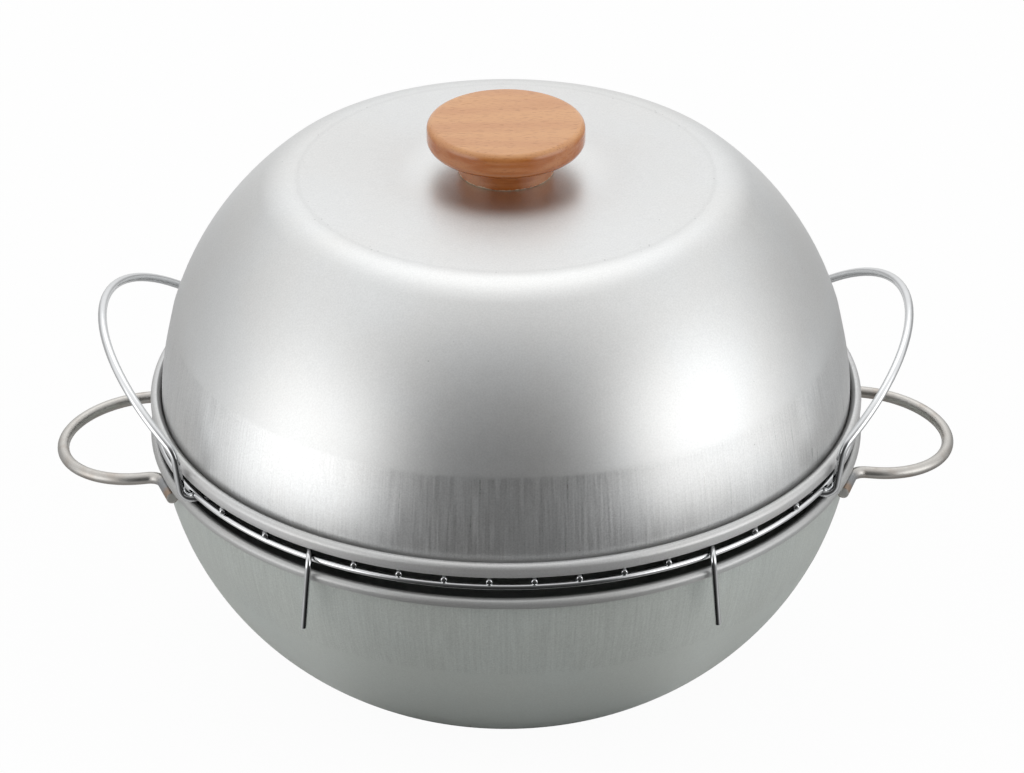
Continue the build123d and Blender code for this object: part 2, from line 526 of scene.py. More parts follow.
@dataclass(frozen=True)
class BareRod:
    """Dull drawn rod, browned in patches, browner and darker on its underside as painted shade, and tinted
    by heat at its welded feet.
    """

    name: str
    foot_y: float
    tone: Colour = (0.52, 0.505, 0.48)
    brown: Colour = (0.36, 0.295, 0.245)
    slate: Colour = (0.25, 0.265, 0.285)
    heat: Colour = (0.37, 0.255, 0.175)
    soot: Colour = (0.10, 0.09, 0.08)
    roughness: float = 0.36
    patch_size: float = 9.0
    patch_fade: Fade = (0.46, 0.72)
    patch_share: float = 0.45
    # Painted shade: the rod is made browner and darker where it faces down
    underside_shade_fade: Fade = (-0.2, 0.8)
    underside_shade_share: float = 0.4
    fine_size: float = 1.1
    fine_rough: float = 0.18
    tint_waver: float = 6.0
    tint_fade: Fade = (-6.0, 1.0)
    tint_share: float = 0.75
    tint_metal: float = 0.15
    tint_rough: float = 0.12
    tip_waver: float = 5.0
    tip_fade: Fade = (5.0, 10.0)
    tip_share: float = 0.8
    cut_fade: Fade = (0.80, 0.90)
    cut_metal: float = 0.4
    marks: Dots = Dots(cell=6.0, width=0.9, kept_share=0.35)
    mark_share: float = 0.6
    grain_size: float = 0.7
    grain_depth: float = 0.012

    def material(self) -> bpy.types.Material:
        """Makes the material.

        Returns:
            The material.
        """
        made, paint = new_paint(self.name)
        place = paint.place()
        _, across, _ = paint.split(place)
        _, end_on, up = paint.split(paint.normal())
        past_foot = abs(across) - self.foot_y
        # Painted shade: browner and darker where the surface faces down
        underside_shade = (-up).ease(*self.underside_shade_fade)
        patches = paint.even_clouds(place, self.patch_size, detail=4.0)
        fine = paint.waver(place, self.fine_size, detail=3.0)
        # Brown patches of tarnish, plus the painted shade underneath
        rust_and_underside_shade = patches.ease(*self.patch_fade) * self.patch_share + underside_shade * self.underside_shade_share
        tint = (past_foot + fine * self.tint_waver).ease(*self.tint_fade)
        tip = (past_foot + fine * self.tip_waver).ease(*self.tip_fade)
        cut = abs(end_on).ease(*self.cut_fade) * tip
        rusty_and_shaded = paint.mix(rust_and_underside_shade, self.tone, self.brown)
        blued = paint.mix(tint * self.tint_share, rusty_and_shaded, self.slate)
        hot = paint.mix((tip - cut) * self.tip_share, paint.mix(cut, blued, self.tone), self.heat)
        paint.close(
            Base_Color=paint.mix(paint.specks(place, self.marks) * self.mark_share, hot, self.soot),
            Metallic=1.0 - tint * self.tint_metal - cut * self.cut_metal,
            Roughness=self.roughness + fine * self.fine_rough + tint * self.tint_rough,
            Normal=paint.bump(paint.even_clouds(place, self.grain_size, detail=2.0), self.grain_depth),
        )
        return made


@dataclass(frozen=True)
class LacqueredBeech:
    """Turned beech under satin lacquer, with its grain along X and its foot left raw; its sides and neck
    are darker and more orange than its top face, partly the wood's own colour and partly painted shade.
    """

    name: str
    base_z: float
    top_z: float
    face: Colour = (0.65, 0.325, 0.133)
    # The sides and neck: the wood's deeper colour, made darker still as painted shade
    side: Colour = (0.385, 0.098, 0.006)
    fleck: Colour = (0.28, 0.085, 0.02)
    raw: Colour = (0.66, 0.56, 0.42)
    face_fade: Fade = (-3.6, -0.2)
    layer_cell: Triple = (16.0, 16.0, 0.9)
    layer_tone: Colour = (0.47, 0.17, 0.045)
    layer_fade: Fade = (0.45, 0.70)
    layer_share: float = 0.45
    band_cell: Triple = (110.0, 9.0, 5.0)
    band_tone: Colour = (0.55, 0.24, 0.095)
    band_fade: Fade = (0.38, 0.66)
    band_share: float = 0.60
    ray_cell: Triple = (3.6, 0.50, 0.50)
    ray_fade: Fade = (0.54, 0.70)
    ray_share: float = 0.46
    ray_rough: float = 0.10
    pore_fade: Fade = (0.55, 0.72)
    pore_depth: float = 0.015
    ragged_size: float = 2.2
    ragged_reach: float = 2.4
    bare_fade: Fade = (1.5, 1.9)
    bare_share: float = 0.8
    roughness: float = 0.45
    coat_roughness: float = 0.13
    coat_ior: float = 1.62

    def material(self) -> bpy.types.Material:
        """Makes the material.

        Returns:
            The material.
        """
        made, paint = new_paint(self.name)
        place = paint.place()
        _, _, height = paint.split(place)
        bands = paint.clouds(place, self.band_cell, detail=2.0)
        rays = paint.clouds(place, self.ray_cell, detail=2.0)
        layers = paint.clouds(place, self.layer_cell, detail=3.0)
        facing = (height - self.top_z).ease(*self.face_fade)
        layered = layers.ease(*self.layer_fade) * (1.0 - facing) * self.layer_share
        # Light top face, and sides darker partly as painted shade
        wood_with_shaded_side = paint.mix(facing, self.side, self.face)
        pale = paint.mix(layered, wood_with_shaded_side, self.layer_tone)
        banded = paint.mix(bands.ease(*self.band_fade) * self.band_share, pale, self.band_tone)
        flecked = paint.mix(rays.ease(*self.ray_fade) * self.ray_share, banded, self.fleck)
        waver = paint.even_clouds(place, self.ragged_size, detail=3.0) * self.ragged_reach
        bare = (1.0 - (height - self.base_z + waver).ease(*self.bare_fade)) * self.bare_share
        paint.close(
            Base_Color=paint.mix(bare, flecked, self.raw),
            Roughness=self.roughness + rays * self.ray_rough,
            Specular_IOR_Level=0.0,
            Coat_Weight=1.0 - bare,
            Coat_Roughness=self.coat_roughness,
            Coat_IOR=self.coat_ior,
            Normal=paint.bump(1.0 - rays.ease(*self.pore_fade), self.pore_depth),
        )
        return made


@dataclass(frozen=True)
class ZincPlate:
    """Zinc plating on small hardware."""

    name: str
    tone: Colour = (0.58, 0.59, 0.61)
    roughness: float = 0.30
    haze_size: float = 1.8
    haze_shade: float = 0.16
    haze_rough: float = 0.12
    grain_size: float = 0.4
    grain_depth: float = 0.004

    def material(self) -> bpy.types.Material:
        """Makes the material.

        Returns:
            The material.
        """
        made, paint = new_paint(self.name)
        place = paint.place()
        haze = paint.waver(place, self.haze_size, detail=3.0)
        paint.close(
            Base_Color=paint.shade(self.tone, 1.0 + haze * self.haze_shade),
            Metallic=1.0,
            Roughness=self.roughness + haze * self.haze_rough,
            Normal=paint.bump(paint.even_clouds(place, self.grain_size, detail=1.0), self.grain_depth),
        )
        return made


# Meshes


def steps(first: float, last: float, count: int) -> list[float]:
    """Even steps from the first number to the last, both included."""
    return [first + (last - first) * index / count for index in range(count + 1)]


def add_object(name: str, data: bpy.types.ID) -> bpy.types.Object:
    """Puts a mesh or a camera in the scene.

    Args:
        name: The object's name.
        data: The mesh or the camera.

    Returns:
        The object.
    """
    made = bpy.data.objects.new(name, data)
    bpy.context.scene.collection.objects.link(made)
    return made


def make_piece(name: str, points: Sequence[Sequence[float]], faces: Faces) -> bpy.types.Object:
    """Makes a smooth-shaded mesh object.

    Args:
        name: The piece's name.
        points: Its points, in millimetres.
        faces: Its faces, as places in the list of points.

    Returns:
        The object, in the scene.
    """
    mesh = bpy.data.meshes.new(name)
    mesh.from_pydata([Vector(point) * MM for point in points], [], faces)
    form = bmesh.new()
    form.from_mesh(mesh)
    bmesh.ops.recalc_face_normals(form, faces=form.faces)
    form.to_mesh(mesh)
    form.free()
    mesh.shade_smooth()
    mesh.set_sharp_from_angle(angle=radians(SHARP_TURN))
    return add_object(name, mesh)


def lathe(name: str, outline: Sequence[Point], segments: int, ring: bool = False) -> bpy.types.Object:
    """Turns an outline about Z.

    Args:
        name: The piece's name.
        outline: Radii and heights in order.
        segments: The number of steps around.
        ring: Whether the outline closes on itself, clear of the axis.

    Returns:
        The turned piece.
    """
    points: list[Vector] = []
    rows: list[list[int]] = []
    for radius, height in outline:
        first = len(points)
        if radius < LEAST_RADIUS:
            points.append(Vector((0.0, 0.0, height)))
            rows.append([first] * segments)
            continue
        for index in range(segments):
            angle = 2 * pi * index / segments
            points.append(Vector((radius * cos(angle), radius * sin(angle), height)))
        rows.append(list(range(first, first + segments)))
    pairs = list(zip(rows, rows[1:]))
    if ring:
        pairs.append((rows[-1], rows[0]))
    faces: Faces = []
    for low, high in pairs:
        for index in range(segments):
            after = (index + 1) % segments
            corners = (low[index], low[after], high[after], high[index])
            faces.append(tuple(dict.fromkeys(corners)))
    return make_piece(name, points, faces)


def rounded_run(corners: Sequence[Vector], radii: Sequence[float], turn_step: float = 7.0) -> list[Vector]:
    """Straight runs whose inner corners are rounded by tangent arcs.

    Args:
        corners: The two ends and the corners between them.
        radii: The bend radius at each inner corner.
        turn_step: The largest turn between two points, in degrees.

    Returns:
        Points along the run.
    """
    points = [corners[0]]
    for before, corner, after, radius in zip(corners, corners[1:], corners[2:], radii):
        into = (before - corner).normalized()
        out = (after - corner).normalized()
        half = into.angle(out) / 2
        centre = corner + (into + out).normalized() * (radius / sin(half))
        spoke = corner + into * (radius / tan(half)) - centre
        turn = pi - 2 * half
        axis = out.cross(into).normalized()
        count = max(BEND_STEPS, ceil(degrees(turn) / turn_step))
        for angle in steps(0.0, turn, count):
            points.append(centre + Matrix.Rotation(angle, 3, axis) @ spoke)
    points.append(corners[-1])
    return points


def tube(
    name: str, path: Sequence[Vector], radius: float, sides: int, dome: float = 0.0
) -> bpy.types.Object:
    """A round rod or wire along a path.

    Args:
        name: The piece's name.
        path: Points along its middle.
        radius: Its radius.
        sides: The number of steps around it.
        dome: How far its ends bulge, as a share of the radius, within the path's length.

    Returns:
        The piece.
    """
    line = [Vector(point) for point in path]
    head = (line[0] - line[1]).normalized()
    tail = (line[-1] - line[-2]).normalized()
    line[0] = line[0] - head * dome * radius
    line[-1] = line[-1] - tail * dome * radius
    stations = [(point, radius) for point in line]
    if dome:
        for angle in steps(0.0, pi / 2, DOME_STEPS)[1:-1]:
            bulge = dome * radius * sin(angle)
            stations.insert(0, (line[0] + head * bulge, radius * cos(angle)))
            stations.append((line[-1] + tail * bulge, radius * cos(angle)))
    middles = [point for point, _ in stations]
    points: list[Vector] = []
    side = (middles[1] - middles[0]).orthogonal().normalized()
    for index, (middle, reach) in enumerate(stations):
        along = (middles[min(index + 1, len(middles) - 1)] - middles[max(index - 1, 0)]).normalized()
        side = (side - along * side.dot(along)).normalized()
        across = along.cross(side)
        for angle in steps(0.0, 2 * pi, sides)[:-1]:
            points.append(middle + (side * cos(angle) + across * sin(angle)) * reach)
    faces: Faces = []
    for row in range(len(stations) - 1):
        for index in range(sides):
            after = (index + 1) % sides
            low, high = row * sides, (row + 1) * sides
            faces.append((low + index, low + after, high + after, high + index))
    faces.append(tuple(range(sides)))
    faces.append(tuple(range(len(points) - sides, len(points))))
    return make_piece(name, points, faces)


def weld_lumps(name: str, spots: WeldSpots) -> bpy.types.Object:
    """Small uneven lumps of weld metal.

    Args:
        name: The piece's name.
        spots: The middle, the long direction and the half sizes (along, across, up) of each lump.

    Returns:
        One piece that holds them all.
    """
    form = bmesh.new()
    for middle, along, half in spots:
        turn = along.to_track_quat("X", "Z").to_matrix()
        ball = bmesh.ops.create_icosphere(form, subdivisions=2, radius=1.0)
        for vertex in ball["verts"]:
            uneven = 1.0 + WELD_UNEVEN * noise.noise(vertex.co * WELD_PITCH + middle)
            shape = Vector((vertex.co.x * half.x, vertex.co.y * half.y, vertex.co.z * half.z))
            vertex.co = (middle + turn @ shape * uneven) * MM
    mesh = bpy.data.meshes.new(name)
    form.to_mesh(mesh)
    form.free()
    mesh.shade_smooth()
    return add_object(name, mesh)


def dress(piece: bpy.types.Object, finish: bpy.types.Material) -> None:
    """Gives a piece one material in place of any that it has.

    Args:
        piece: The piece.
        finish: The material.
    """
    if not piece.material_slots:
        piece.data.materials.append(finish)
    for slot in piece.material_slots:
        slot.material = finish


def seat(piece: bpy.types.Object, body: Body, slot: Slot, *nodes: str) -> None:
    """Lets a piece ride on a body in the place of CAD nodes.

    Args:
        piece: The piece.
        body: The body that it moves with.
        slot: The record's material slot for the piece; not used.
        nodes: The CAD nodes that it stands for.
    """
    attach(piece, body.value)
    if nodes:
        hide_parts(*nodes)
    log.info("%s rides on %s and stands for %s", piece.name, body.value, ", ".join(nodes) or "no node")


# Sub-assemblies


@dataclass(frozen=True)
class PressedShell:
    """A bowl pressed from sheet, flat side down, with its rim rolled outward and back to the wall."""

    seat_d: float
    crown: float
    flat_d: float
    shoulder_r: float
    shoulder_turn: float
    height: float
    rim_d: float
    roll_width: float
    roll_height: float
    roll_slot: float
    line_drop: float
    line_lift: float
    skirt_bend: float = 0.0
    line_reach: float = 9.0
    tail_turn: float = 40.0
    hole_d: float = 0.0
    sheet: float = 1.0
    flat_steps: int = 6
    crown_steps: int = 12
    shoulder_steps: int = 24
    side_steps: int = 96
    roll_steps: int = 20
    edge_steps: int = 6

    @property
    def line_height(self) -> float:
        """Height of the pressing line."""
        return self.height - self.roll_height / 2 - self.line_drop

    @property
    def roll_from(self) -> float:
        """How far above the pressing line the rolled rim starts."""
        return self.height - self.roll_height - self.line_height

    @property
    def roll_r(self) -> float:
        """Radius of the rim's outward fold, at the middle of the sheet."""
        return (self.roll_width - self.sheet) / 2

    @property
    def tilt(self) -> float:
        """Slope at the edge of the crowned end, in radians."""
        return 2 * atan2(self.crown, (self.flat_d - self.seat_d) / 2)

    def shoulder_point(self, angle: float) -> Vector:
        """A point of the shoulder.

        Args:
            angle: The slope of the wall there, in radians.

        Returns:
            The middle of the sheet.
        """
        reach = self.shoulder_r - self.sheet / 2
        edge = Vector((self.flat_d / 2, self.crown + self.sheet / 2))
        return edge + Vector((sin(angle) - sin(self.tilt), cos(self.tilt) - cos(angle))) * reach

    def side(self) -> tuple[Vector, float, Vector]:
        """The side's arc, from the shoulder to the rim.

        Returns:
            Its centre, its radius, and the middle of the rim's outward fold.
        """
        turn = radians(self.shoulder_turn)
        start = self.shoulder_point(turn)
        inward = Vector((-sin(turn), cos(turn)))
        fold = Vector(((self.rim_d - self.roll_width) / 2, self.height - self.roll_width / 2))
        back = start - fold
        side_r = (back.length_squared - self.roll_r**2) / (2 * (self.roll_r - inward.dot(back)))
        return start + inward * side_r, side_r, fold

    def wall_r(self, height: float) -> float:
        """Radius of the wall's outside at a height."""
        centre, side_r, _ = self.side()
        return centre.x + sqrt((side_r + self.sheet / 2) ** 2 - (height - centre.y) ** 2)

    def swell(self, height: float) -> float:
        """How far the wall leaves its arc: a ridge at the pressing line, and a flatter skirt above.

        Args:
            height: The height on the wall.

        Returns:
            The distance, outward.
        """
        above = height - self.line_height
        ridge = self.line_lift * max(0.0, 1.0 - abs(above) / self.line_reach) ** 2
        share = min(max(above / self.roll_from, 0.0), 1.0)
        return ridge - self.skirt_bend * share * (1.0 - share) ** 2 * self.roll_from

    def wall_line(self) -> SheetLine:
        """Middle of the sheet from the axis to the rolled rim.

        Returns:
            Points and outward normals.
        """
        turn = radians(self.shoulder_turn)
        centre, side_r, fold = self.side()
        line: SheetLine = []
        for radius in steps(self.hole_d / 2, self.seat_d / 2, self.flat_steps)[:-1]:
            line.append((Vector((radius, self.sheet / 2)), Vector((0.0, -1.0))))
        if self.crown:
            crown_r = (self.flat_d - self.seat_d) / 2 / sin(self.tilt)
            hub = Vector((self.seat_d / 2, self.sheet / 2 + crown_r))
            for angle in steps(0.0, self.tilt, self.crown_steps)[:-1]:
                normal = Vector((sin(angle), -cos(angle)))
                line.append((hub + normal * crown_r, normal))
        for angle in steps(self.tilt, turn, self.shoulder_steps)[:-1]:
            line.append((self.shoulder_point(angle), Vector((sin(angle), -cos(angle)))))
        to_fold = fold - centre
        for angle in steps(turn - pi / 2, atan2(to_fold.y, to_fold.x), self.side_steps)[:-1]:
            normal = Vector((cos(angle), sin(angle)))
            point = centre + normal * side_r
            line.append((point + normal * self.swell(point.y), normal))
        return line

    def roll_line(self) -> SheetLine:
        """Middle of the sheet round the rolled rim: out over the fold, down, and back beside the wall.

        Returns:
            Points and normals, on the same face of the sheet as the wall's.
        """
        centre, _, fold = self.side()
        out = (fold - centre).normalized()
        up = Vector((-out.y, out.x))
        tail_r = self.roll_r - (self.roll_slot + self.sheet) / 2
        drop = self.roll_height - self.roll_width / 2 - tail_r - self.sheet / 2
        line: SheetLine = []
        for angle in steps(0.0, pi, self.roll_steps):
            spoke = up * sin(angle) - out * cos(angle)
            line.append((fold + spoke * self.roll_r, -spoke))
        curl = fold + out * (self.roll_r - tail_r) - up * drop
        for angle in steps(0.0, pi + radians(self.tail_turn), self.roll_steps):
            spoke = out * cos(angle) - up * sin(angle)
            line.append((curl + spoke * tail_r, -spoke))
        return line

    def outline(self) -> list[Point]:
        """Both faces of the sheet, from the axis out along the outside and back.

        Returns:
            Radii and heights in order.
        """
        line = self.wall_line() + self.roll_line()
        half = self.sheet / 2
        outside = [point + normal * half for point, normal in line]
        inside = [point - normal * half for point, normal in line]
        edge, normal = line[-1]
        onward = (edge - line[-2][0]).normalized()
        rounded = [
            edge + (normal * cos(angle) + onward * sin(angle)) * half
            for angle in steps(0.0, pi, self.edge_steps)[1:-1]
        ]
        return [(max(point.x, 0.0), point.y) for point in outside + rounded + inside[::-1]]


@dataclass
class Bowl:
    """The bowl and its two rod handles."""

    shell: PressedShell = PressedShell(
        seat_d=170.0,
        crown=0.0,
        flat_d=170.0,
        shoulder_r=30.0,
        shoulder_turn=34.5,
        height=113.3,
        rim_d=330.0,
        roll_width=4.8,
        roll_height=4.8,
        roll_slot=0.7,
        line_drop=44.0,
        line_lift=0.05,
    )
    segments: int = 192
    rod_d: float = 5.5
    rod_sides: int = 24
    rod_dome: float = 0.14
    loop_r: float = 38.0
    loop_leg: float = 3.5
    loop_drop: float = 10.4
    loop_steps: int = 24
    droop: float = 5.5
    bend_r: float = 8.0
    bend_steps: int = 12
    foot: float = 16.0
    foot_turn: float = 18.0
    foot_bite: float = 0.05
    foot_steps: int = 5
    weld_shares: Point = (0.30, 0.62)
    weld_lengths: Point = (3.2, 3.6)
    weld_half: float = 1.1
    weld_rise: float = 1.3
    weld_inset_share: float = 0.40

    def sheet(self) -> PressedSheet:
        """The bowl's finish.

        Returns:
            A dark satin sheet whose skirt is its upper wall, darker and greener than the lid's partly as
            painted shade.
        """
        return PressedSheet(
            name="bowl_satin_steel",
            # Darker and greener than the lid's tone: partly the sheet's own tone, partly painted shade
            tone=(0.55, 0.58, 0.55),
            roll_tone=(0.495, 0.497, 0.49),
            roughness=0.50,
            metal=0.36,
            line_z=self.shell.line_height,
            skirt=Skirt.ABOVE,
            roll_from=self.shell.roll_from,
            edge_r=self.shell.flat_d / 2,
            wall_r=150.0,
            roll_metal=0.24,
            roll_polish=0.06,
            flat_matt=0.0,
            skirt_shade=0.04,
        )

    def rod_path(self, hand: Hand) -> list[Vector]:
        """Middle of a handle's rod: a half-round loop on short legs, which turn out into feet.

        Args:
            hand: The side that the handle is on.

        Returns:
            Points from one foot's end to the other's.
        """
        level = self.shell.height - self.loop_drop
        wall = self.shell.wall_r(level)
        foot_r = wall + self.rod_d / 2 - self.foot_bite
        turn = radians(self.foot_turn)
        bend = pi / 2 - turn
        corner = (foot_r - self.loop_r * sin(turn)) / cos(turn)
        loop_x = corner + self.bend_r * tan(bend / 2)
        loop_end = loop_x + self.loop_leg
        bend_y = self.loop_r + self.bend_r
        flat: list[Point] = []
        for angle in steps(0.0, pi / 2, self.loop_steps):
            flat.append((loop_end + self.loop_r * cos(angle), self.loop_r * sin(angle)))
        for angle in steps(0.0, bend, self.bend_steps):
            flat.append((loop_x - self.bend_r * sin(angle), bend_y - self.bend_r * cos(angle)))
        last_x, last_y = flat[-1]
        for reach in steps(0.0, self.foot, self.foot_steps)[1:]:
            flat.append((last_x - reach * cos(bend), last_y + reach * sin(bend)))
        flat = [(x, -y) for x, y in flat[:0:-1]] + flat
        slope = radians(self.droop)
        return [
            Vector((hand.value * (wall + (x - wall) * cos(slope)), y, level - (x - wall) * sin(slope)))
            for x, y in flat
        ]

    def foot_welds(self, hand: Hand) -> WeldSpots:
        """Weld metal between a handle's feet and the wall.

        Args:
            hand: The side that the handle is on.

        Returns:
            The places of the lumps.
        """
        path = self.rod_path(hand)
        spots: WeldSpots = []
        for foot in (path, path[::-1]):
            tip, back = foot[0], foot[self.foot_steps]
            along = (back - tip).normalized()
            for share, length in zip(self.weld_shares, self.weld_lengths):
                middle = tip.lerp(back, share)
                inward = Vector((-middle.x, -middle.y, 0.0)).normalized()
                for rise in (-self.weld_rise, self.weld_rise):
                    spot = middle + inward * self.rod_d * self.weld_inset_share + Vector((0.0, 0.0, rise))
                    spots.append((spot, along, Vector((length, self.weld_half, self.weld_half))))
        return spots

    def build(self) -> None:
        """Builds, dresses and seats the bowl and its handles."""
        steel = self.sheet().material()
        rod = BareRod("bare_rod_steel", self.loop_r + self.bend_r).material()
        shell = lathe("bowl_pressed_shell", self.shell.outline(), self.segments)
        dress(shell, steel)
        seat(shell, Body.POT, Slot.BOWL_STEEL, "bowl_shell")
        for hand in Hand:
            name = f"bowl_rod_handle_{hand.word}"
            handle = tube(name, self.rod_path(hand), self.rod_d / 2, self.rod_sides, self.rod_dome)
            dress(handle, rod)
            seat(handle, Body.POT, Slot.ROD_STEEL, f"bowl_handle_{hand.word}")
            welds = weld_lumps(f"bowl_handle_welds_{hand.word}", self.foot_welds(hand))
            dress(welds, rod)
            seat(welds, Body.POT, Slot.ROD_STEEL)


@dataclass
class Rack:
    """The wire rack: ring, parallel wires, two wires that hook over the bowl's rim, two handles."""

    rim_r: float = 165.0
    ring_d: float = 3.0
    ring_inset: float = 2.8
    ring_z: float = 119.0
    ring_sides: int = 20
    ring_segments: int = 192
    wire_d: float = 2.7
    wire_count: int = 14
    wire_z: float = 121.75
    wire_sides: int = 20
    wire_steps: int = 6
    wire_dome: float = 0.4
    margin_share: float = 1.75
    outer_count: int = 2
    hook_leg: float = 36.0
    hook_bend_r: float = 5.0
    hook_splay: float = 5.0
    hook_gap: float = 0.8
    bail_d: float = 4.0
    bail_z: float = 115.6
    bail_half_span: float = 78.5
    bail_lean: float = 7.0
    bail_rise: float = 23.2
    bail_slope: float = 42.0
    bail_spread: float = 57.0
    bail_straight: float = 9.0
    bail_bends: Point = (5.0, 9.0)
    bail_gap: float = 0.8
    bail_sides: int = 24
    arch_steps: int = 32
    lid_bead_z: float = 127.1
    wire_weld_half: Triple = (1.5, 1.25, 0.8)
    bail_weld_half: Triple = (1.9, 1.6, 0.8)

    @property
    def ring_r(self) -> float:
        """Radius of the ring's middle."""
        return self.rim_r - self.ring_inset

    def wire_x(self, place: int) -> float:
        """X of a wire, counted from the left."""
        pitch = 2 * self.ring_r / (self.wire_count - 1 + 2 * self.margin_share)
        return pitch * (place - (self.wire_count - 1) / 2)

    def hook_path(self, hand: Hand, wire_x: float) -> list[Vector]:
        """Middle of a hooked wire, whose legs splay out sideways.

        Args:
            hand: The side that it is on.
            wire_x: Its X.

        Returns:
            Points from one leg's end to the other's.
        """
        reach = sqrt((self.rim_r + self.hook_gap + self.wire_d / 2) ** 2 - wire_x**2)
        splay = radians(self.hook_splay)
        out = wire_x + hand.value * self.hook_leg * sin(splay)
        low = self.wire_z - self.hook_leg * cos(splay)
        corners = [
            Vector((out, -reach, low)),
            Vector((wire_x, -reach, self.wire_z)),
            Vector((wire_x, reach, self.wire_z)),
            Vector((out, reach, low)),
        ]
        return rounded_run(corners, (self.hook_bend_r, self.hook_bend_r))

    def bail_path(self, hand: Hand) -> list[Vector]:
        """Middle of a handle: rails under the ring, uprights outside the lid's rim, and an arch.

        Args:
            hand: The side that the handle is on.

        Returns:
            Points from one rail's end to the other's.
        """
        lean = tan(radians(self.bail_lean))
        spread, slope = radians(self.bail_spread), radians(self.bail_slope)
        span = self.bail_half_span
        guard_r = self.rim_r + self.bail_gap + self.bail_d / 2
        foot_x = sqrt(guard_r**2 - span**2) - (self.lid_bead_z - self.bail_z) * lean
        knee_x, knee_z = foot_x + self.bail_rise * lean, self.bail_z + self.bail_rise
        arch_half = span - self.bail_straight * cos(spread)
        arch_r = arch_half / sin(spread)
        out = self.bail_straight * sin(spread)

        def leaned(reach: float, across: float) -> Vector:
            """A point of the leaning arch, by its reach past the knee and its Y."""
            return Vector((hand.value * (knee_x + reach * cos(slope)), across, knee_z + reach * sin(slope)))

        corners = [
            Vector((0.0, -span, self.bail_z)),
            Vector((hand.value * foot_x, -span, self.bail_z)),
            Vector((hand.value * knee_x, -span, knee_z)),
            leaned(out, -arch_half),
        ]
        leg = rounded_run(corners, self.bail_bends)
        arch = [
            leaned(out + arch_r * (cos(angle) - cos(spread)), arch_r * sin(angle))
            for angle in steps(-spread, spread, self.arch_steps)[1:-1]
        ]
        return leg + arch + [Vector((point.x, -point.y, point.z)) for point in reversed(leg)]

    def weld_spots(self) -> WeldSpots:
        """Welds between the ring and what crosses it.

        Returns:
            The places of the lumps.
        """
        spots: WeldSpots = []
        top = self.ring_z + self.ring_d / 2
        for place in range(self.wire_count):
            x = self.wire_x(place)
            y = sqrt(self.ring_r**2 - x**2)
            for end in (-1, 1):
                middle = Vector((x, end * y, top))
                spots.append((middle, Vector((0.0, 1.0, 0.0)), Vector(self.wire_weld_half)))
        x = sqrt(self.ring_r**2 - self.bail_half_span**2)
        for hand in Hand:
            for end in (-1, 1):
                middle = Vector((hand.value * x, end * self.bail_half_span, self.ring_z - self.ring_d / 2))
                spots.append((middle, Vector((1.0, 0.0, 0.0)), Vector(self.bail_weld_half)))
        return spots

    def build(self) -> None:
        """Builds, dresses and seats the rack's wires."""
        chrome = ChromeWire("chrome_plated_wire").material()
        half_ring = self.ring_d / 2
        round_section = [
            (self.ring_r + half_ring * cos(angle), self.ring_z + half_ring * sin(angle))
            for angle in steps(0.0, 2 * pi, self.ring_sides)[:-1]
        ]
        ring = lathe("rack_round_ring", round_section, self.ring_segments, ring=True)
        dress(ring, chrome)
        seat(ring, Body.RACK, Slot.CHROME_WIRE, "rack_ring")
        hooked = {self.outer_count: Hand.LEFT, self.wire_count - 1 - self.outer_count: Hand.RIGHT}
        for place in range(self.wire_count):
            x = self.wire_x(place)
            if place in hooked:
                hand = hooked[place]
                path = self.hook_path(hand, x)
                name, node = f"rack_rim_hook_{hand.word}", f"rack_hook_wire_{hand.word}"
            else:
                half = sqrt((self.ring_r + half_ring) ** 2 - x**2)
                path = [Vector((x, y, self.wire_z)) for y in steps(-half, half, self.wire_steps)]
                name, node = f"rack_straight_wire_{place + 1:02d}", f"rack_wire_{place + 1:02d}"
            wire = tube(name, path, self.wire_d / 2, self.wire_sides, self.wire_dome)
            dress(wire, chrome)
            seat(wire, Body.RACK, Slot.CHROME_WIRE, node)
        for hand in Hand:
            bail = tube(f"rack_bail_{hand.word}", self.bail_path(hand), self.bail_d / 2, self.bail_sides)
            dress(bail, chrome)
            seat(bail, Body.RACK, Slot.CHROME_WIRE, f"rack_handle_{hand.word}")
        welds = weld_lumps("rack_welds", self.weld_spots())
        dress(welds, chrome)
        seat(welds, Body.RACK, Slot.CHROME_WIRE)


